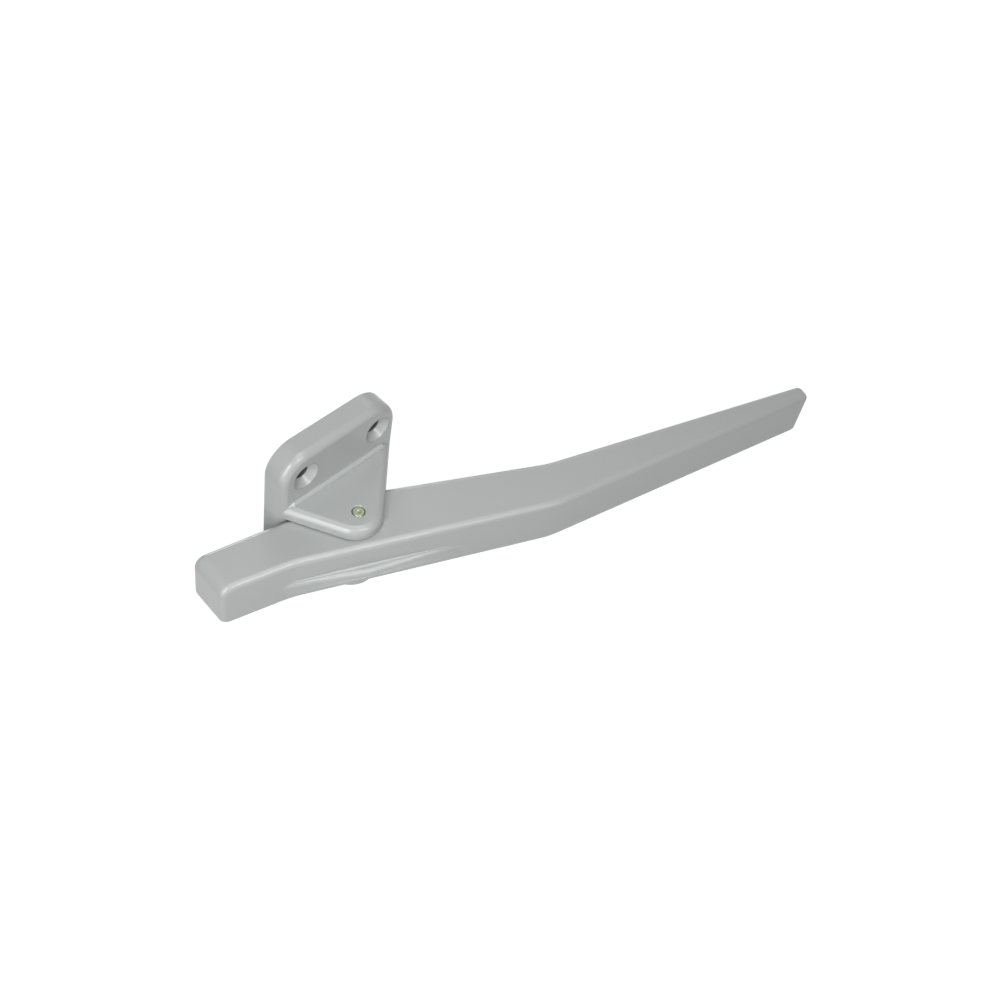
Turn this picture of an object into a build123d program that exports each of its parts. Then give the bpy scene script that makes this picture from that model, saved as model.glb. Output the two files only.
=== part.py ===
from build123d import *
from math import cos, radians, sin
import os

# Inside latch handle: a cast lever swings on a brass pin between the two ears of
# a cast bracket, and two countersunk screws hold the bracket's plate to a door.
# All sizes are in millimetres and all angles in degrees.
# The origin is on the plate's back face, midway between the two screw holes.
# +X runs along the plate towards the grip, -Y points out of the plate's front
# face and +Z runs up the hinge pin.

# Mounting plate
plate_thick = 7.1
hole_spacing = 25.4
hole_dia = 4.5
sink_dia = 8.4
sink_angle = 82
left_margin = 8.05       # left hole to the plate's left end
right_margin = 6.95      # right hole to the plate's right end
top_margin = 8.8         # hole line to the plate's top edge
left_corner = 8.4        # radii of the plate's two upper corners
right_corner = 9.6
plate_edge_radius = 2.3  # rounding round the front face

# Ears of the bracket
ear_thick = 3.7
ear_below_holes = 8.6    # hole line down to the upper ear's top face
low_ear_thick = 4.4
ear_tip_radius = 7.95
ear_tip_back = 1.5       # centre of the round tip, measured back from the pin axis
ear_edge_radius = 2.3    # rounding of the upper ear's outer edges
low_ear_radius = 1.0     # the same on the lower ear

# Casting fillets in the inner corners
crease_radius = 1.2      # between plate and upper ear
crease_taper = 1.6       # length over which each end of it runs out
crease_left_end = 2.2    # from the plate's left and right ends to the fillet's
crease_right_end = 3.2
swell_crease = 0.6       # between the swell's top and the arm's front side
swell_crease_half = 9.0  # from the pin to where this one starts to run out
swell_crease_taper = 15.0
fillet_end = 0.1         # what is left of a fillet at its ends
fillet_sink = 0.4        # how far it reaches into the castings behind it

# Hinge
pin_left = 5.06          # pin axis, left of the middle of the holes
pin_out = 12.6           # pin axis, in front of the plate's front face
pin_dia = 3.6
pin_chamfer = 0.3
pin_inset = 0.1          # each pin end lies this much below its ear's face
dimple_dia = 1.5
dimple_depth = 0.12
bore_clearance = 0.05    # radial, pin to lever and pin to the upper ear
mouth_chamfer = 0.2      # at the upper ear's pin hole
side_gap = 0.45          # lever to each ear

# Lever: its straight sides are lines at an angle to +X, placed from the pin
lever_thick = 16.4
hub_front = 9.2          # pin axis to the arm's front side
hub_back = 9.4           # pin axis to the arm's back side
nose_hub_back = 9.0      # pin axis to the nose's back side, which clears the plate
arm_front_angle = -24.4
arm_back_angle = -28.1
nose_reach = 42.8        # pin axis to the nose's end
nose_front_angle = -15.0
nose_back_angle = -13.05
nose_end_angle = 85.5
nose_bend = 20.2         # along the arm's front side, from the pin to the nose
grip_front_bend = 55.4   # along the arm's front side, from the pin to the grip
grip_back_bend = 57.6    # along the arm's back side, from the pin to the grip
grip_angle = -13.3       # of the grip's front side; its back side runs to the tip
grip_length = 93.3       # along the grip's front side
tip_width = 5.0
tip_end_angle = 74.0
bend_radius = 30.0
nose_top_radius = 3.6    # where the nose's end meets the lever's top
nose_low_radius = 2.8    # and where it meets the underside
tip_front_radius = 1.5
tip_back_radius = 1.9
edge_radius = 1.8        # along the lever's other edges

# Swell round the pin, on the lower half of the arm's front side
swell_height = 3.4       # how far it stands out at the pin
swell_flank = 7.3        # how steeply it runs out along the arm
swell_run = 33.0         # length of each flank, its end sunk in the arm
swell_edge_radius = 1.4
swell_root = 4.0         # pin axis to the swell's hidden inner side
swell_sink = 0.1         # how far its foot lies inside the arm's side

# Places worked out from the sizes above
plate_left = -(hole_spacing / 2 + left_margin)
plate_right = hole_spacing / 2 + right_margin
plate_mid = (plate_left + plate_right) / 2
ear_top = -ear_below_holes
lever_top = ear_top - ear_thick - side_gap
lever_mid = lever_top - lever_thick / 2
lever_low = lever_top - lever_thick
low_ear_top = lever_low - side_gap
bracket_low = low_ear_top - low_ear_thick
pin_x = -pin_left
pin_y = -plate_thick - pin_out
pin_top = ear_top - pin_inset
pin_low = bracket_low + pin_inset
lever_plane = Plane(origin=(pin_x, pin_y, lever_low), x_dir=(1, 0, 0), z_dir=(0, 0, 1))


def along(line, distance):
    """Point at a distance along a line, which is a start point and an angle."""
    (x, y), angle = line
    return (x + distance * cos(radians(angle)), y + distance * sin(radians(angle)))


def beside_pin(offset, angle):
    """Line at an angle that passes the pin axis, offset towards the plate."""
    return ((-offset * sin(radians(angle)), offset * cos(radians(angle))), angle)


def crossing(first, second):
    """Point where two lines cross."""
    (ax, ay), a = first
    (bx, by), b = second
    a, b = radians(a), radians(b)
    run = ((bx - ax) * sin(b) - (by - ay) * cos(b)) / sin(b - a)
    return (ax + run * cos(a), ay + run * sin(a))


def cove(corner, x_dir, z_dir, radius):
    """Section of a fillet in an inner corner, reaching into both sides of it."""
    with BuildSketch(Plane(origin=corner, x_dir=x_dir, z_dir=z_dir)) as section:
        with BuildLine():
            RadiusArc((0, radius), (radius, 0), radius)
            Polyline(
                (radius, 0),
                (radius, -fillet_sink),
                (-fillet_sink, -fillet_sink),
                (-fillet_sink, radius),
                (0, radius),
            )
        make_face()
    return section.sketch


# Bracket
with BuildSketch() as ear_outline:
    with Locations((plate_mid, -plate_thick / 2)):
        Rectangle(plate_right - plate_left, plate_thick)
    fillet(ear_outline.vertices().group_by(Axis.Y)[0], plate_edge_radius)
    with Locations((pin_x, pin_y + ear_tip_back)):
        Circle(ear_tip_radius)
    make_hull()

with BuildPart() as upper_ear:
    extrude(Plane.XY.offset(ear_top - ear_thick) * ear_outline.sketch, amount=ear_thick)
    top_edges = upper_ear.faces().sort_by(Axis.Z)[-1].edges()
    fillet(top_edges.sort_by(Axis.Y)[:-1], ear_edge_radius)

with BuildPart() as lower_ear:
    extrude(Plane.XY.offset(bracket_low) * ear_outline.sketch, amount=low_ear_thick)
    low_edges = lower_ear.faces().sort_by(Axis.Z)[0].edges()
    fillet(low_edges.sort_by(Axis.Y)[:-1], low_ear_radius)

crease_left = plate_left + crease_left_end
crease_right = plate_right - crease_right_end
with BuildPart() as crease_fillet:
    for end_x, radius in (
        (crease_left, fillet_end),
        (crease_left + crease_taper, crease_radius),
        (crease_right - crease_taper, crease_radius),
        (crease_right, fillet_end),
    ):
        add(cove((end_x, -plate_thick, ear_top), (0, -1, 0), (-1, 0, 0), radius))
    loft(ruled=True)

with BuildPart() as bracket:
    with BuildSketch(Plane.XZ) as plate_outline:
        plate_height = top_margin - bracket_low - low_ear_radius
        with Locations((plate_mid, top_margin - plate_height / 2)):
            Rectangle(plate_right - plate_left, plate_height)
        for end_x, radius in ((plate_left, left_corner), (plate_right, right_corner)):
            upper = plate_outline.vertices().sort_by_distance((end_x, top_margin))[0]
            fillet(upper, radius)
    extrude(amount=plate_thick)
    front_edges = bracket.faces().sort_by(Axis.Y)[0].edges()
    fillet(front_edges.sort_by(Axis.Z)[1:], plate_edge_radius)
    add(upper_ear.part)
    add(lower_ear.part)
    add(crease_fillet.part)
    with Locations(Plane.XZ.offset(plate_thick)):
        with GridLocations(hole_spacing, hole_spacing, 2, 1):
            CounterSinkHole(hole_dia / 2, sink_dia / 2, counter_sink_angle=sink_angle)
    with Locations((pin_x, pin_y, ear_top)):
        Hole(pin_dia / 2 + bore_clearance, depth=ear_thick + side_gap)
    with Locations((pin_x, pin_y, low_ear_top)):
        Hole(pin_dia / 2, depth=low_ear_thick + side_gap)
    mouth = bracket.edges().filter_by(GeomType.CIRCLE).sort_by_distance((pin_x, pin_y, ear_top))[0]
    chamfer(mouth, mouth_chamfer)
bracket.part.label = "bracket"

# Pivot pin, a half section turned about the pin axis
with BuildPart() as pivot_pin:
    with BuildSketch(Plane.XZ.offset(-pin_y)):
        with BuildLine():
            Polyline(
                (pin_x, pin_low + dimple_depth),
                (pin_x + dimple_dia / 2, pin_low),
                (pin_x + pin_dia / 2 - pin_chamfer, pin_low),
                (pin_x + pin_dia / 2, pin_low + pin_chamfer),
                (pin_x + pin_dia / 2, pin_top - pin_chamfer),
                (pin_x + pin_dia / 2 - pin_chamfer, pin_top),
                (pin_x + dimple_dia / 2, pin_top),
                (pin_x, pin_top - dimple_depth),
                close=True,
            )
        make_face()
    revolve(axis=Axis((pin_x, pin_y, 0), (0, 0, 1)))
pivot_pin.part.label = "pivot_pin"

# Swell of the lever, drawn along the arm's front side with the pin at the middle
arm_plane = Plane(
    origin=(pin_x, pin_y, lever_mid),
    x_dir=(cos(radians(arm_front_angle)), sin(radians(arm_front_angle)), 0),
    z_dir=(0, 0, 1),
)
swell_radius = hub_front + swell_height
crown_x = swell_radius * sin(radians(swell_flank))
crown_y = -swell_radius * cos(radians(swell_flank))
end_x = crown_x + swell_run * cos(radians(swell_flank))
end_y = crown_y + swell_run * sin(radians(swell_flank))
foot_y = swell_sink - hub_front
with BuildPart() as swell:
    with BuildSketch(arm_plane):
        with BuildLine():
            Line((-end_x, end_y), (-crown_x, crown_y))
            ThreePointArc((-crown_x, crown_y), (0, -swell_radius), (crown_x, crown_y))
            Polyline(
                (crown_x, crown_y),
                (end_x, end_y),
                (end_x, -swell_root),
                (-end_x, -swell_root),
                (-end_x, end_y),
            )
        make_face()
    with BuildSketch(arm_plane.offset(edge_radius - lever_thick / 2)):
        with BuildLine():
            Polyline(
                (-end_x, foot_y),
                (-crown_x, foot_y),
                (crown_x, foot_y),
                (end_x, foot_y),
                (end_x, -swell_root),
                (-end_x, -swell_root),
                close=True,
            )
        make_face()
    loft(ruled=True)
    ridge = [
        edge
        for edge in swell.faces().sort_by(Axis.Z)[-1].edges()
        if arm_plane.to_local_coords(edge.center()).Y < -hub_front
    ]
    fillet(ridge, swell_edge_radius)

with BuildPart() as swell_fillet:
    for end_x, radius in (
        (-swell_crease_half - swell_crease_taper, fillet_end),
        (-swell_crease_half, swell_crease),
        (swell_crease_half, swell_crease),
        (swell_crease_half + swell_crease_taper, fillet_end),
    ):
        corner = arm_plane.from_local_coords((end_x, -hub_front, 0))
        add(cove(corner, -arm_plane.y_dir, -arm_plane.x_dir, radius))
    loft(ruled=True)

# Lever outline, from the nose's bend round to the nose's two corners
arm_front = beside_pin(-hub_front, arm_front_angle)
arm_back = beside_pin(hub_back, arm_back_angle)
nose_front = (along(arm_front, -nose_bend), nose_front_angle)
nose_back = beside_pin(nose_hub_back, nose_back_angle)
nose_middle = beside_pin(0, (nose_front_angle + nose_back_angle) / 2)
nose_end = (along(nose_middle, -nose_reach), nose_end_angle)
grip_front = (along(arm_front, grip_front_bend), grip_angle)
tip_front = (along(grip_front, grip_length), tip_end_angle)
lever_corners = [
    (nose_front[0], bend_radius),
    (grip_front[0], bend_radius),
    (tip_front[0], tip_front_radius),
    (along(tip_front, tip_width), tip_back_radius),
    (along(arm_back, grip_back_bend), bend_radius),
    (crossing(nose_back, arm_back), bend_radius),
]
nose_corners = [crossing(nose_back, nose_end), crossing(nose_front, nose_end)]

with BuildPart() as lever:
    with BuildSketch(lever_plane) as lever_outline:
        with BuildLine():
            Polyline(*[corner for corner, radius in lever_corners], *nose_corners, close=True)
        make_face()
        for corner, radius in lever_corners:
            fillet(lever_outline.vertices().sort_by_distance(corner)[0], radius)
    extrude(amount=lever_thick)
    for rank, radius in ((-1, nose_top_radius), (0, nose_low_radius)):
        nose_face = lever.faces().sort_by(Axis.X)[0]
        fillet(nose_face.edges().sort_by(Axis.Z)[rank], radius)
    nose_faces = lever.faces().sort_by(Axis.X)[:3]
    rims = [edge for face in nose_faces + lever.faces().filter_by(Axis.Z) for edge in face.edges()]
    outer = [edge for edge in rims if sum(edge.is_same(other) for other in rims) == 1]
    fillet(outer, edge_radius)
    add(swell.part)
    add(swell_fillet.part)
    with Locations((pin_x, pin_y, lever_top)):
        Hole(pin_dia / 2 + bore_clearance, depth=lever_thick)
lever.part.label = "lever"

os.makedirs("parts", exist_ok=True)
export_step(bracket.part, "parts/bracket.step")
export_step(pivot_pin.part, "parts/pivot_pin.step")
export_step(lever.part, "parts/lever.step")
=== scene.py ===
from math import cos, pi, radians, sin

import bpy
from mathutils import Matrix, Vector


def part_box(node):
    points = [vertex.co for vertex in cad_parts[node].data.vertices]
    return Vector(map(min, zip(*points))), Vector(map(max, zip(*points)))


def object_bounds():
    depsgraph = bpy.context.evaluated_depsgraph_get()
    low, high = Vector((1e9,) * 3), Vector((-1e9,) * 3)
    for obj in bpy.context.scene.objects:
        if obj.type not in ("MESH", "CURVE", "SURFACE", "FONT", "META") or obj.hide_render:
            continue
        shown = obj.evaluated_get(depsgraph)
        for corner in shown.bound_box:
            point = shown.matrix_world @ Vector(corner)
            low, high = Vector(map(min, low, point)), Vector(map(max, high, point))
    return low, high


bl_info = {
    "name": "Inside Latch Handle",
    "version": (1, 0, 0),
    "blender": (4, 5, 0),
    "location": "View3D > Sidebar > Latch Handle",
    "description": "Finishes the cast lever, its bracket and its pin, and lights them",
    "category": "Object",
}

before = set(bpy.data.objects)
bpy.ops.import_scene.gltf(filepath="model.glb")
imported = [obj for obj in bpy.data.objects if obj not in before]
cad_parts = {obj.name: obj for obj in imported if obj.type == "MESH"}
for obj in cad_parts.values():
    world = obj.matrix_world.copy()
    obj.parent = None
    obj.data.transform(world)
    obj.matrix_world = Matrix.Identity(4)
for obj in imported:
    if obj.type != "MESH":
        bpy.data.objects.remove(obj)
cad_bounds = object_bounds()

MM = 0.001
WHITE = (1.0, 1.0, 1.0, 1.0)

# Part of a Noise texture's output, from 0 to 1, that is stretched over the whole mask.
FLAKE_RANGE = (0.35, 0.65)
MOTTLE_RANGE = (0.3, 0.7)
# Share of the flakes in the paint's tone. The mottle has the rest.
FLAKE_SHARE = 0.75
# Width of one ring of a Wave texture at scale 1: its angle grows by 20 radians per unit.
WAVE_RING = 2 * pi / 20

# In millimetres, as Blender keeps a lens and its sensor.
SENSOR_WIDTH = 36.0
CLIP_START = 10 * MM
FLOOR_HALF_WIDTH = 6.0
LAMP_TARGET = Vector((40 * MM, -30 * MM, -20 * MM))


class LatchCastingSettings(bpy.types.PropertyGroup):
    """Paint on the two castings."""

    paint_colour: bpy.props.FloatVectorProperty(
        name="Paint colour",
        description="Silver grey paint on the bracket and the lever",
        subtype="COLOR",
        size=3,
        min=0.0,
        max=1.0,
        default=(0.455, 0.473, 0.468),
    )
    grain_colour: bpy.props.FloatVectorProperty(
        name="Grain colour",
        description="Darker tone between the paint's metal flakes",
        subtype="COLOR",
        size=3,
        min=0.0,
        max=1.0,
        default=(0.441, 0.458, 0.453),
    )
    grain_size: bpy.props.FloatProperty(
        name="Grain size",
        description="Width of one flake of the paint",
        subtype="DISTANCE",
        unit="LENGTH",
        default=0.35 * MM,
    )
    mottle_size: bpy.props.FloatProperty(
        name="Mottle size",
        description="Width of the faint cloudy patches of the sprayed coat",
        subtype="DISTANCE",
        unit="LENGTH",
        default=9.0 * MM,
    )
    grain_height: bpy.props.FloatProperty(
        name="Grain height",
        description="Height of the paint's grain",
        subtype="DISTANCE",
        unit="LENGTH",
        default=0.0015 * MM,
    )
    roughness: bpy.props.FloatProperty(
        name="Roughness",
        description="Mean roughness of the satin coat",
        subtype="FACTOR",
        min=0.0,
        max=1.0,
        default=0.3,
    )
    roughness_spread: bpy.props.FloatProperty(
        name="Roughness spread",
        description="How far the coat's roughness goes to either side of its mean",
        subtype="FACTOR",
        min=0.0,
        max=0.3,
        default=0.015,
    )
    metallic: bpy.props.FloatProperty(
        name="Flake share",
        description="How much of the paint answers light as metal flakes do",
        subtype="FACTOR",
        min=0.0,
        max=1.0,
        default=0.04,
    )
    # Painted shade: the screw holes' bores get a dark colour that stands in for the shade deep inside them.
    bore_shade_colour: bpy.props.FloatVectorProperty(
        name="Bore shade colour",
        description="Painted shade inside the screw holes' bores",
        subtype="COLOR",
        size=3,
        min=0.0,
        max=1.0,
        default=(0.14, 0.14, 0.135),
    )
    bore_radius: bpy.props.FloatProperty(
        name="Bore radius",
        description="How far from a screw hole's axis the painted shade reaches",
        subtype="DISTANCE",
        unit="LENGTH",
        default=2.32 * MM,
    )
    rim_radius: bpy.props.FloatProperty(
        name="Countersink rim radius",
        description="Radius of the thin dark line round each countersink",
        subtype="DISTANCE",
        unit="LENGTH",
        default=4.2 * MM,
    )
    rim_half_width: bpy.props.FloatProperty(
        name="Countersink rim half width",
        description="Half the width of the line round each countersink",
        subtype="DISTANCE",
        unit="LENGTH",
        default=0.16 * MM,
    )
    rim_shade: bpy.props.FloatProperty(
        name="Countersink rim shade",
        description="Brightness in the middle of that line as a share of the paint's",
        subtype="FACTOR",
        min=0.0,
        max=1.0,
        default=0.6,
    )
    hole_spacing: bpy.props.FloatProperty(
        name="Screw hole spacing",
        description="Distance between the two screw holes of the plate",
        subtype="DISTANCE",
        unit="LENGTH",
        default=25.4 * MM,
    )
    plate_middle: bpy.props.FloatProperty(
        name="Middle of the plate",
        description="Depth in the plate, from its back, past which the rims are darkened",
        subtype="DISTANCE",
        unit="LENGTH",
        default=3.5 * MM,
    )


class LatchPinSettings(bpy.types.PropertyGroup):
    """Brass of the pivot pin."""

    brass_colour: bpy.props.FloatVectorProperty(
        name="Brass colour",
        description="Pale greenish brass of the pin's ends",
        subtype="COLOR",
        size=3,
        min=0.0,
        max=1.0,
        default=(0.37, 0.41, 0.29),
    )
    tarnish_colour: bpy.props.FloatVectorProperty(
        name="Tarnish colour",
        description="Duller brass in the turning marks",
        subtype="COLOR",
        size=3,
        min=0.0,
        max=1.0,
        default=(0.28, 0.315, 0.22),
    )
    mark_pitch: bpy.props.FloatProperty(
        name="Turning mark pitch",
        description="Distance from one turning mark to the next",
        subtype="DISTANCE",
        unit="LENGTH",
        default=0.7854 * MM,
    )
    roughness: bpy.props.FloatProperty(
        name="Roughness",
        description="Mean roughness of the turned brass",
        subtype="FACTOR",
        min=0.0,
        max=1.0,
        default=0.35,
    )
    roughness_spread: bpy.props.FloatProperty(
        name="Roughness spread",
        description="How far the roughness goes to either side of its mean across a turning mark",
        subtype="FACTOR",
        min=0.0,
        max=0.3,
        default=0.08,
    )


class LatchStageSettings(bpy.types.PropertyGroup):
    """Camera, floor and lamps."""

    camera_place: bpy.props.FloatVectorProperty(
        name="Camera place",
        description="Where the camera stands",
        subtype="TRANSLATION",
        unit="LENGTH",
        size=3,
        default=(-177.86 * MM, -180.33 * MM, 299.76 * MM),
    )
    camera_azimuth: bpy.props.FloatProperty(
        name="Camera azimuth",
        description="Turn of the view from the plate's own direction towards the grip",
        subtype="ANGLE",
        default=radians(55.858),
    )
    camera_elevation: bpy.props.FloatProperty(
        name="Camera elevation",
        description="How steeply the camera looks down",
        subtype="ANGLE",
        default=radians(51.242),
    )
    camera_roll: bpy.props.FloatProperty(
        name="Camera roll",
        description="Turn of the camera about its own line of sight",
        subtype="ANGLE",
        default=radians(12.798),
    )
    lens: bpy.props.FloatProperty(
        name="Lens",
        description="Focal length on a 36 mm wide sensor",
        subtype="DISTANCE_CAMERA",
        unit="CAMERA",
        default=52.42,
    )
    floor_colour: bpy.props.FloatVectorProperty(
        name="Floor colour",
        description="Floor under the handle, as far as it throws light back",
        subtype="COLOR",
        size=3,
        min=0.0,
        max=1.0,
        default=(0.27, 0.27, 0.27),
    )
    floor_glow: bpy.props.FloatProperty(
        name="Floor glow",
        description="White that the camera and reflections see near the handle besides the lamps' light",
        min=0.0,
        max=1.0,
        default=0.9,
    )
    shade_start: bpy.props.FloatProperty(
        name="Shade start",
        description="Distance from the handle at which the floor starts to turn plain white",
        subtype="DISTANCE",
        unit="LENGTH",
        default=0.25,
    )
    shade_end: bpy.props.FloatProperty(
        name="Shade end",
        description="Distance from the handle from which the floor is plain white",
        subtype="DISTANCE",
        unit="LENGTH",
        default=0.65,
    )
    floor_drop: bpy.props.FloatProperty(
        name="Floor drop",
        description="Gap between the handle's lowest point and the floor",
        subtype="DISTANCE",
        unit="LENGTH",
        default=0.5 * MM,
    )
    sky_strength: bpy.props.FloatProperty(
        name="Sky strength",
        description="Even light from all round, besides the lamps",
        min=0.0,
        default=0.0,
    )
    key_power: bpy.props.FloatProperty(
        name="Key lamp power",
        description="Small soft box above the nose's end",
        unit="POWER",
        min=0.0,
        default=0.22,
    )
    end_power: bpy.props.FloatProperty(
        name="End lamp power",
        description="Low soft box beyond the nose's end",
        unit="POWER",
        min=0.0,
        default=0.52,
    )
    near_power: bpy.props.FloatProperty(
        name="Near lamp power",
        description="Small soft box above the front of the bracket",
        unit="POWER",
        min=0.0,
        default=0.17,
    )
    front_power: bpy.props.FloatProperty(
        name="Front lamp power",
        description="Small soft box in front of the lever",
        unit="POWER",
        min=0.0,
        default=0.24,
    )
    top_power: bpy.props.FloatProperty(
        name="Top lamp power",
        description="Soft box above the handle",
        unit="POWER",
        min=0.0,
        default=0.8,
    )
    side_power: bpy.props.FloatProperty(
        name="Grip side lamp power",
        description="Soft box beyond the grip",
        unit="POWER",
        min=0.0,
        default=0.55,
    )
    back_power: bpy.props.FloatProperty(
        name="Back lamp power",
        description="Soft box behind the bracket's plate",
        unit="POWER",
        min=0.0,
        default=2.3,
    )


def add_sockets(group, direction, kind, *names):
    """Adds named sockets of one kind to a shader node group."""
    for name in names:
        group.interface.new_socket(name=name, in_out=direction, socket_type=kind)


def calculate(nodes, links, operation, first, second):
    """One Math node, each of whose two inputs is a socket or a number."""
    node = nodes.new("ShaderNodeMath")
    node.operation = operation
    for socket, value in zip(node.inputs, (first, second)):
        if isinstance(value, (int, float)):
            socket.default_value = value
        else:
            links.new(value, socket)
    return node.outputs["Value"]


def stretch(nodes, links, value, limits):
    """Stretches the part of a mask between two limits over 0 to 1."""
    node = nodes.new("ShaderNodeMapRange")
    node.inputs["From Min"].default_value, node.inputs["From Max"].default_value = limits
    links.new(value, node.inputs["Value"])
    return node.outputs["Result"]


def mix_colour(nodes, links, mask, first, second):
    """Mixes two colours by a mask, where each colour is a socket or red, green and blue."""
    node = nodes.new("ShaderNodeMix")
    node.data_type = "RGBA"
    links.new(mask, node.inputs["Factor"])
    for socket, value in ((node.inputs["A"], first), (node.inputs["B"], second)):
        if isinstance(value, bpy.types.NodeSocket):
            links.new(value, socket)
        else:
            socket.default_value = (*value, 1.0)
    return node.outputs["Result"]


def seen_directly(nodes, links):
    """Socket that is 1 where the camera, a reflection or a view through glass looks."""
    rays = nodes.new("ShaderNodeLightPath").outputs
    seen = calculate(nodes, links, "MAXIMUM", rays["Is Camera Ray"], rays["Is Glossy Ray"])
    return calculate(nodes, links, "MAXIMUM", seen, rays["Is Transmission Ray"])


def paint_grain_group():
    """Flake and mottle of a sprayed metal flake paint, built once for both castings."""
    name = "Paint grain"
    if name in bpy.data.node_groups:
        return bpy.data.node_groups[name]
    group = bpy.data.node_groups.new(name, "ShaderNodeTree")
    add_sockets(group, "INPUT", "NodeSocketColor", "Paint colour", "Grain colour")
    add_sockets(group, "INPUT", "NodeSocketFloat", "Grain scale", "Mottle scale")
    add_sockets(group, "INPUT", "NodeSocketFloat", "Roughness low", "Roughness high")
    add_sockets(group, "OUTPUT", "NodeSocketColor", "Colour")
    add_sockets(group, "OUTPUT", "NodeSocketFloat", "Roughness", "Height")
    nodes, links = group.nodes, group.links
    inputs = nodes.new("NodeGroupInput")
    outputs = nodes.new("NodeGroupOutput")
    place = nodes.new("ShaderNodeTexCoord")

    flakes = nodes.new("ShaderNodeTexNoise")
    flakes.inputs["Detail"].default_value = 2.0
    flakes.inputs["Roughness"].default_value = 0.6
    links.new(place.outputs["Object"], flakes.inputs["Vector"])
    links.new(inputs.outputs["Grain scale"], flakes.inputs["Scale"])

    mottle = nodes.new("ShaderNodeTexNoise")
    mottle.inputs["Detail"].default_value = 3.0
    links.new(place.outputs["Object"], mottle.inputs["Vector"])
    links.new(inputs.outputs["Mottle scale"], mottle.inputs["Scale"])

    specks = stretch(nodes, links, flakes.outputs["Fac"], FLAKE_RANGE)
    specks = calculate(nodes, links, "MULTIPLY", specks, FLAKE_SHARE)
    clouds = stretch(nodes, links, mottle.outputs["Fac"], MOTTLE_RANGE)
    clouds = calculate(nodes, links, "MULTIPLY", clouds, 1.0 - FLAKE_SHARE)
    blend = calculate(nodes, links, "ADD", specks, clouds)

    tone = mix_colour(nodes, links, blend, inputs.outputs["Grain colour"], inputs.outputs["Paint colour"])
    links.new(tone, outputs.inputs["Colour"])

    sheen = nodes.new("ShaderNodeMapRange")
    links.new(blend, sheen.inputs["Value"])
    links.new(inputs.outputs["Roughness low"], sheen.inputs["To Min"])
    links.new(inputs.outputs["Roughness high"], sheen.inputs["To Max"])
    links.new(sheen.outputs["Result"], outputs.inputs["Roughness"])
    links.new(flakes.outputs["Fac"], outputs.inputs["Height"])
    return group


def screw_hole_group():
    """Masks of the two screw holes' bores and of the rims of their countersinks."""
    name = "Screw hole masks"
    if name in bpy.data.node_groups:
        return bpy.data.node_groups[name]
    group = bpy.data.node_groups.new(name, "ShaderNodeTree")
    add_sockets(group, "INPUT", "NodeSocketFloat", "Half spacing", "Bore radius")
    add_sockets(group, "INPUT", "NodeSocketFloat", "Rim radius", "Rim half width", "Front limit")
    add_sockets(group, "OUTPUT", "NodeSocketFloat", "Bore", "Rim")
    nodes, links = group.nodes, group.links
    inputs = nodes.new("NodeGroupInput")
    outputs = nodes.new("NodeGroupOutput")
    place = nodes.new("ShaderNodeTexCoord")
    split = nodes.new("ShaderNodeSeparateXYZ")
    links.new(place.outputs["Object"], split.inputs["Vector"])

    across = calculate(nodes, links, "ABSOLUTE", split.outputs["X"], 0.0)
    across = calculate(nodes, links, "SUBTRACT", across, inputs.outputs["Half spacing"])
    across = calculate(nodes, links, "MULTIPLY", across, across)
    upright = calculate(nodes, links, "MULTIPLY", split.outputs["Z"], split.outputs["Z"])
    reach = calculate(nodes, links, "ADD", across, upright)
    reach = calculate(nodes, links, "SQRT", reach, 0.0)

    bore = calculate(nodes, links, "LESS_THAN", reach, inputs.outputs["Bore radius"])
    links.new(bore, outputs.inputs["Bore"])
    off = calculate(nodes, links, "SUBTRACT", reach, inputs.outputs["Rim radius"])
    off = calculate(nodes, links, "ABSOLUTE", off, 0.0)
    off = calculate(nodes, links, "DIVIDE", off, inputs.outputs["Rim half width"])
    rim = calculate(nodes, links, "SUBTRACT", 1.0, off)
    rim = calculate(nodes, links, "MAXIMUM", rim, 0.0)
    front = calculate(nodes, links, "LESS_THAN", split.outputs["Y"], inputs.outputs["Front limit"])
    rim = calculate(nodes, links, "MULTIPLY", rim, front)
    links.new(rim, outputs.inputs["Rim"])
    return group


def new_material(name):
    """A material with a plain Principled BSDF, returned with its nodes, its links and that shader."""
    material = bpy.data.materials.new(name)
    material.use_nodes = True
    nodes, links = material.node_tree.nodes, material.node_tree.links
    return material, nodes, links, nodes["Principled BSDF"]


def paint_material(name, settings):
    """Satin silver grey paint on a casting."""
    material, nodes, links, shader = new_material(name)
    grain = nodes.new("ShaderNodeGroup")
    grain.node_tree = paint_grain_group()
    grain.inputs["Paint colour"].default_value = (*settings.paint_colour, 1.0)
    grain.inputs["Grain colour"].default_value = (*settings.grain_colour, 1.0)
    grain.inputs["Grain scale"].default_value = 1.0 / settings.grain_size
    grain.inputs["Mottle scale"].default_value = 1.0 / settings.mottle_size
    grain.inputs["Roughness low"].default_value = settings.roughness - settings.roughness_spread
    grain.inputs["Roughness high"].default_value = settings.roughness + settings.roughness_spread
    bump = nodes.new("ShaderNodeBump")
    bump.inputs["Strength"].default_value = 1.0
    bump.inputs["Distance"].default_value = settings.grain_height
    links.new(grain.outputs["Colour"], shader.inputs["Base Color"])
    links.new(grain.outputs["Roughness"], shader.inputs["Roughness"])
    links.new(grain.outputs["Height"], bump.inputs["Height"])
    links.new(bump.outputs["Normal"], shader.inputs["Normal"])
    shader.inputs["Metallic"].default_value = settings.metallic
    return material


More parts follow.
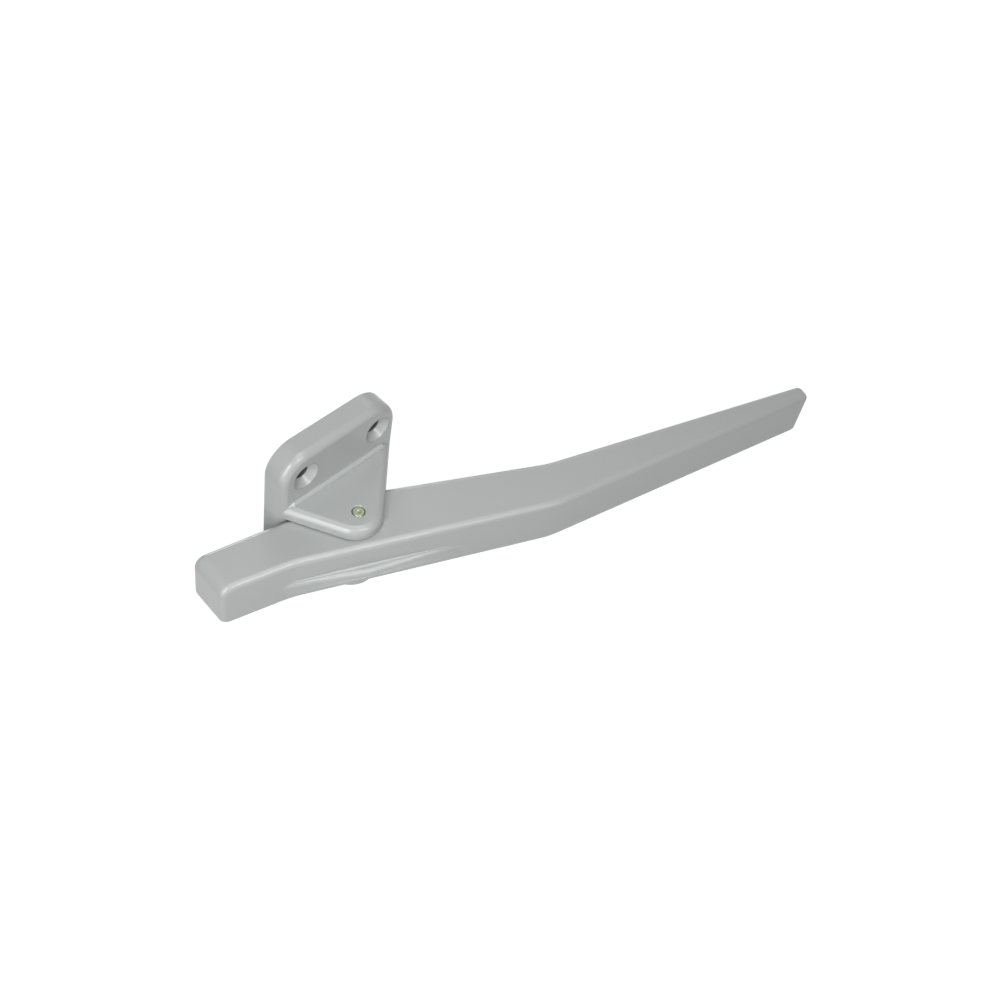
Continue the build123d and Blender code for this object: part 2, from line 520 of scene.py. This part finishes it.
def paint_bore_shade_and_rims(material, settings):
    """Paints shade into the screw holes' bores as a dark colour and darkens the rims of the countersinks."""
    nodes, links = material.node_tree.nodes, material.node_tree.links
    base = nodes["Principled BSDF"].inputs["Base Color"]
    painted = base.links[0].from_socket
    holes = nodes.new("ShaderNodeGroup")
    holes.node_tree = screw_hole_group()
    holes.inputs["Half spacing"].default_value = settings.hole_spacing / 2
    holes.inputs["Bore radius"].default_value = settings.bore_radius
    holes.inputs["Rim radius"].default_value = settings.rim_radius
    holes.inputs["Rim half width"].default_value = settings.rim_half_width
    holes.inputs["Front limit"].default_value = -settings.plate_middle
    rim_colour = [settings.rim_shade * value for value in settings.paint_colour]
    rimmed = mix_colour(nodes, links, holes.outputs["Rim"], painted, rim_colour)
    # Painted shade: the dark bore colour stands in for the shade deep inside the screw holes.
    links.new(mix_colour(nodes, links, holes.outputs["Bore"], rimmed, settings.bore_shade_colour), base)


def dress(node, material):
    """Gives a node of the frame its material."""
    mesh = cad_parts[node].data
    mesh.materials.clear()
    mesh.materials.append(material)


class LATCH_OT_bracket(bpy.types.Operator):
    """Paint the cast bracket."""

    bl_idname = "latch_handle.bracket"
    bl_label = "Bracket"

    def execute(self, context):
        settings = context.scene.latch_casting
        material = paint_material("Bracket paint", settings)
        paint_bore_shade_and_rims(material, settings)
        dress("bracket", material)
        return {"FINISHED"}


class LATCH_OT_lever(bpy.types.Operator):
    """Paint the cast lever."""

    bl_idname = "latch_handle.lever"
    bl_label = "Lever"

    def execute(self, context):
        dress("lever", paint_material("Lever paint", context.scene.latch_casting))
        return {"FINISHED"}


class LATCH_OT_pin(bpy.types.Operator):
    """Give the pivot pin its turned brass."""

    bl_idname = "latch_handle.pin"
    bl_label = "Pivot pin"

    def execute(self, context):
        settings = context.scene.latch_pin
        material, nodes, links, shader = new_material("Turned brass")
        shader.inputs["Metallic"].default_value = 1.0
        place = nodes.new("ShaderNodeTexCoord")
        low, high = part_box("pivot_pin")
        axis = (Vector(low) + Vector(high)) / 2
        centre = nodes.new("ShaderNodeMapping")
        centre.inputs["Location"].default_value = (-axis.x, -axis.y, 0.0)
        marks = nodes.new("ShaderNodeTexWave")
        marks.wave_type = "RINGS"
        marks.rings_direction = "Z"
        marks.inputs["Scale"].default_value = WAVE_RING / settings.mark_pitch
        marks.inputs["Distortion"].default_value = 0.5
        marks.inputs["Detail"].default_value = 1.0
        sheen = nodes.new("ShaderNodeMapRange")
        sheen.inputs["To Min"].default_value = settings.roughness + settings.roughness_spread
        sheen.inputs["To Max"].default_value = settings.roughness - settings.roughness_spread
        links.new(place.outputs["Object"], centre.inputs["Vector"])
        links.new(centre.outputs["Vector"], marks.inputs["Vector"])
        links.new(marks.outputs["Fac"], sheen.inputs["Value"])
        tone = mix_colour(nodes, links, marks.outputs["Fac"], settings.tarnish_colour, settings.brass_colour)
        links.new(tone, shader.inputs["Base Color"])
        links.new(sheen.outputs["Result"], shader.inputs["Roughness"])
        dress("pivot_pin", material)
        return {"FINISHED"}


def add_lamp(name, azimuth, elevation, distance, size, power):
    """A square soft box that shines at the handle, placed by its direction from there."""
    lamp = bpy.data.lights.new(name, "AREA")
    lamp.shape = "SQUARE"
    lamp.size = size
    lamp.energy = power
    turn, rise = radians(azimuth), radians(elevation)
    offset = distance * Vector((cos(rise) * cos(turn), cos(rise) * sin(turn), sin(rise)))
    aim = (-offset).to_track_quat("-Z", "Y").to_matrix().to_4x4()
    box = bpy.data.objects.new(name, lamp)
    box.matrix_world = Matrix.Translation(LAMP_TARGET + offset) @ aim
    box.visible_camera = False
    bpy.context.scene.collection.objects.link(box)


class LATCH_OT_stage(bpy.types.Operator):
    """Build the floor, the lamps, the sky and the camera."""

    bl_idname = "latch_handle.stage"
    bl_label = "Stage"

    def execute(self, context):
        settings = context.scene.latch_stage
        self.add_camera(context, settings)
        self.add_floor(context, settings)
        self.add_sky(context, settings)
        # Azimuth and elevation in degrees, distance and width in metres, and power. Azimuth 0 is
        # beyond the grip's end, and -90 is in front of the plate.
        lamps = (
            ("Key lamp", -164, 34, 0.3, 0.06, settings.key_power),
            ("End lamp", -165, 12, 0.4, 0.2, settings.end_power),
            ("Near lamp", -112, 45, 0.27, 0.07, settings.near_power),
            ("Front lamp", -90, 30, 0.5, 0.1, settings.front_power),
            ("Top lamp", -90, 85, 0.5, 0.3, settings.top_power),
            ("Grip side lamp", 45, 35, 0.9, 0.35, settings.side_power),
            ("Back lamp", 62, 12, 0.9, 0.35, settings.back_power),
        )
        for lamp in lamps:
            add_lamp(*lamp)
        context.scene.view_settings.view_transform = "Standard"
        return {"FINISHED"}

    def add_camera(self, context, settings):
        """Camera at the viewing angle of the photograph."""
        camera = bpy.data.cameras.new("Camera")
        camera.lens = settings.lens
        camera.sensor_width = SENSOR_WIDTH
        camera.clip_start = CLIP_START
        view = bpy.data.objects.new("Camera", camera)
        view.matrix_world = (
            Matrix.Translation(settings.camera_place)
            @ Matrix.Rotation(-settings.camera_azimuth, 4, "Z")
            @ Matrix.Rotation(radians(90) - settings.camera_elevation, 4, "X")
            @ Matrix.Rotation(settings.camera_roll, 4, "Z")
        )
        context.scene.collection.objects.link(view)
        context.scene.camera = view

    def add_floor(self, context, settings):
        """Pale floor that the camera sees as white outside the shadow."""
        height = cad_bounds[0][2] - settings.floor_drop
        quarters = ((-1, -1), (1, -1), (1, 1), (-1, 1))
        corners = [(FLOOR_HALF_WIDTH * x, FLOOR_HALF_WIDTH * y, height) for x, y in quarters]
        mesh = bpy.data.meshes.new("Floor")
        mesh.from_pydata(corners, [], [(0, 1, 2, 3)])
        mesh.materials.append(self.floor_material(settings))
        floor = bpy.data.objects.new("Floor", mesh)
        context.scene.collection.objects.link(floor)

    def floor_material(self, settings):
        """Matt floor that keeps the handle's shadow and turns plain white further out."""
        material, nodes, links, shader = new_material("Floor")
        shader.inputs["Base Color"].default_value = (*settings.floor_colour, 1.0)
        shader.inputs["Roughness"].default_value = 0.9
        shader.inputs["Specular IOR Level"].default_value = 0.0
        place = nodes.new("ShaderNodeTexCoord")
        distance = nodes.new("ShaderNodeVectorMath")
        distance.operation = "LENGTH"
        white = nodes.new("ShaderNodeMapRange")
        white.inputs["From Min"].default_value = settings.shade_start
        white.inputs["From Max"].default_value = settings.shade_end
        white.inputs["To Min"].default_value = settings.floor_glow
        white.inputs["To Max"].default_value = 1.0
        links.new(place.outputs["Object"], distance.inputs[0])
        links.new(distance.outputs["Value"], white.inputs["Value"])
        glow = calculate(nodes, links, "MULTIPLY", seen_directly(nodes, links), white.outputs["Result"])
        shader.inputs["Emission Color"].default_value = WHITE
        links.new(glow, shader.inputs["Emission Strength"])
        return material

    def add_sky(self, context, settings):
        """Even light of a set strength, white where the camera or a reflection looks at it."""
        world = bpy.data.worlds.new("Sky")
        world.use_nodes = True
        context.scene.world = world
        nodes, links = world.node_tree.nodes, world.node_tree.links
        lit = nodes["Background"]
        lit.inputs["Color"].default_value = WHITE
        lit.inputs["Strength"].default_value = settings.sky_strength
        shown = nodes.new("ShaderNodeBackground")
        shown.inputs["Color"].default_value = WHITE
        shown.inputs["Strength"].default_value = 1.0
        mix = nodes.new("ShaderNodeMixShader")
        links.new(seen_directly(nodes, links), mix.inputs["Fac"])
        links.new(lit.outputs["Background"], mix.inputs[1])
        links.new(shown.outputs["Background"], mix.inputs[2])
        links.new(mix.outputs["Shader"], nodes["World Output"].inputs["Surface"])


OPERATORS = (LATCH_OT_bracket, LATCH_OT_lever, LATCH_OT_pin, LATCH_OT_stage)


class LATCH_PT_panel(bpy.types.Panel):
    """Buttons and settings of the latch handle."""

    bl_idname = "LATCH_PT_panel"
    bl_label = "Latch Handle"
    bl_space_type = "VIEW_3D"
    bl_region_type = "UI"
    bl_category = "Latch Handle"

    def draw(self, context):
        layout = self.layout
        scene = context.scene
        for operator in OPERATORS:
            layout.operator(operator.bl_idname)
        for settings in (scene.latch_casting, scene.latch_pin, scene.latch_stage):
            box = layout.box()
            for name in settings.__annotations__:
                box.prop(settings, name)


CLASSES = (LatchCastingSettings, LatchPinSettings, LatchStageSettings, *OPERATORS, LATCH_PT_panel)


def register():
    for item in CLASSES:
        bpy.utils.register_class(item)
    bpy.types.Scene.latch_casting = bpy.props.PointerProperty(type=LatchCastingSettings)
    bpy.types.Scene.latch_pin = bpy.props.PointerProperty(type=LatchPinSettings)
    bpy.types.Scene.latch_stage = bpy.props.PointerProperty(type=LatchStageSettings)


def unregister():
    del bpy.types.Scene.latch_stage
    del bpy.types.Scene.latch_pin
    del bpy.types.Scene.latch_casting
    for item in reversed(CLASSES):
        bpy.utils.unregister_class(item)


def main():
    """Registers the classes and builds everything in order."""
    register()
    bpy.ops.latch_handle.bracket()
    bpy.ops.latch_handle.lever()
    bpy.ops.latch_handle.pin()
    bpy.ops.latch_handle.stage()


if __name__ == "__main__":
    main()
